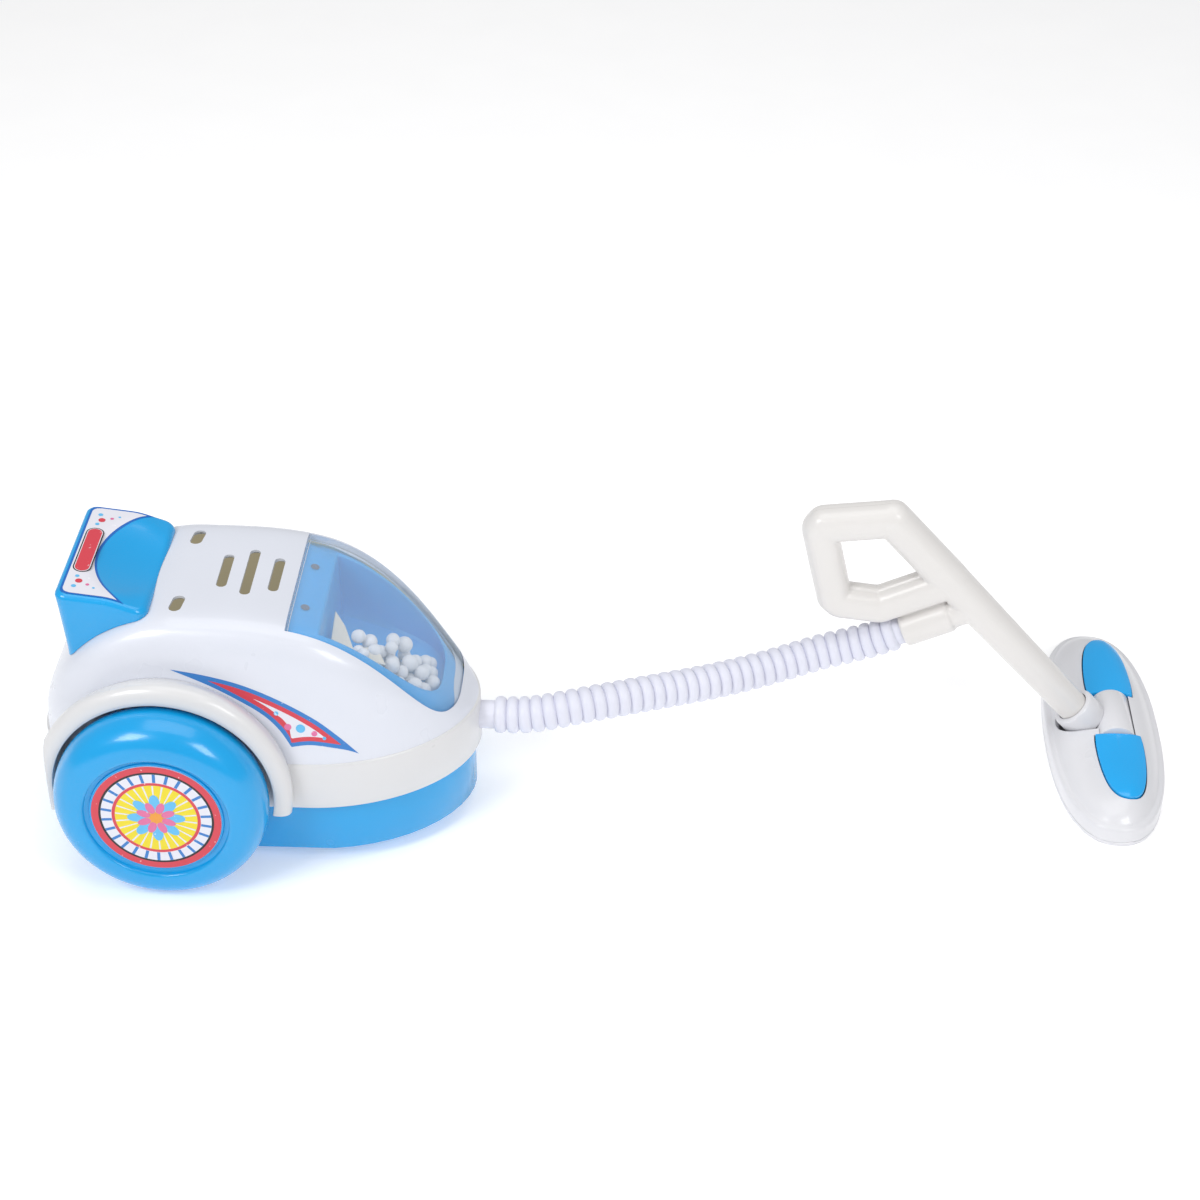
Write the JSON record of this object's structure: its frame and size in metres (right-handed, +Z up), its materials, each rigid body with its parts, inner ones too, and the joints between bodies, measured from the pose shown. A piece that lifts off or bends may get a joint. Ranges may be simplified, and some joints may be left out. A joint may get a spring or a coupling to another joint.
{
  "type": "toy vacuum cleaner",
  "caption": "Toy canister vacuum cleaner with big rear wheels, a bead window, a ribbed hose, a looped wand and a tilting floor nozzle.",
  "frame": {"origin": "on the floor, under the middle of the whole object without its hose", "axes": "+X from the canister's tail to the nozzle, +Y to the canister's left, +Z up"},
  "size_m": [0.372, 0.151, 0.0974],
  "materials": {
    "shell_white": "gloss moulded plastic",
    "skirt_white": "gloss moulded plastic",
    "toy_blue": "gloss moulded plastic",
    "window_clear": "clear moulded plastic",
    "bead_white": "expanded foam",
    "label_print": "printed sticker",
    "hose_white": "soft moulded plastic",
    "wand_ivory": "gloss moulded plastic",
    "nozzle_white": "gloss moulded plastic",
    "roller_white": "moulded plastic",
    "steel": "plated steel",
    "cell_wrap": "printed sleeve",
    "switch_black": "moulded plastic"
  },
  "bodies": {
    "canister": {"chassis": "toy_blue", "skirt": "skirt_white", "upper_shell": "shell_white", "grip": "toy_blue", "grip_label": "label_print", "bead_tray": "toy_blue", "window": "window_clear", "foam_beads": "bead_white", "motor": "steel", "battery_cells": "cell_wrap", "battery_contacts": "steel", "battery_springs": "steel", "switch_body": "switch_black", "roller_pin": "steel", "shell_screws": "steel", "hose": "hose_white"},
    "rear_wheels": {"rear_axle": "steel", "wheel_left": "toy_blue", "wheel_right": "toy_blue", "wheel_label_left": "label_print", "wheel_label_right": "label_print"},
    "front_roller": {"front_roller": "roller_white"},
    "fan": {"motor_shaft": "steel", "fan": "roller_white"},
    "switch_knob": {"switch_knob": "switch_black"},
    "battery_door": {"battery_door": "toy_blue", "door_screw": "steel"},
    "wand": {"wand_half_left": "wand_ivory", "wand_half_right": "wand_ivory", "nozzle_elbow": "nozzle_white"},
    "nozzle": {"nozzle_sole": "nozzle_white", "nozzle_cover": "nozzle_white", "nozzle_insert_near": "toy_blue", "nozzle_insert_far": "toy_blue", "nozzle_screws": "steel"}
  },
  "joints": [
    {"name": "wheel_roll", "type": "hinge", "parent": "canister", "child": "rear_wheels", "pos_m": [-0.1425, -0.015, 0.0342], "axis": [0, 1, 0], "continuous": true},
    {"name": "roller_roll", "type": "hinge", "parent": "canister", "child": "front_roller", "pos_m": [-0.0605, -0.015, 0.0065], "axis": [0, 1, 0], "continuous": true},
    {"name": "fan_spin", "type": "hinge", "parent": "canister", "child": "fan", "pos_m": [-0.0835, -0.015, 0.0345], "axis": [0, 0, 1], "continuous": true},
    {"name": "switch_slide", "type": "slide", "parent": "canister", "child": "switch_knob", "axis": [1, 0, 0], "range_m": [0, 0.004]},
    {"name": "door_lift_off", "type": "slide", "parent": "canister", "child": "battery_door", "axis": [0, 0, -1], "range_m": [0, 0.012]},
    {"name": "hose_swing", "type": "hinge", "parent": "canister", "child": "wand", "pos_m": [0.025, 0.003, 0.034], "axis": [0, 0, 1], "range_deg": [-25, 25], "deforming": ["hose"]},
    {"name": "nozzle_tilt", "type": "hinge", "parent": "wand", "child": "nozzle", "pos_m": [0.1708, 0.0215, 0.0089], "axis": [0, 1, 0], "range_deg": [-25, 5]}
  ]
}
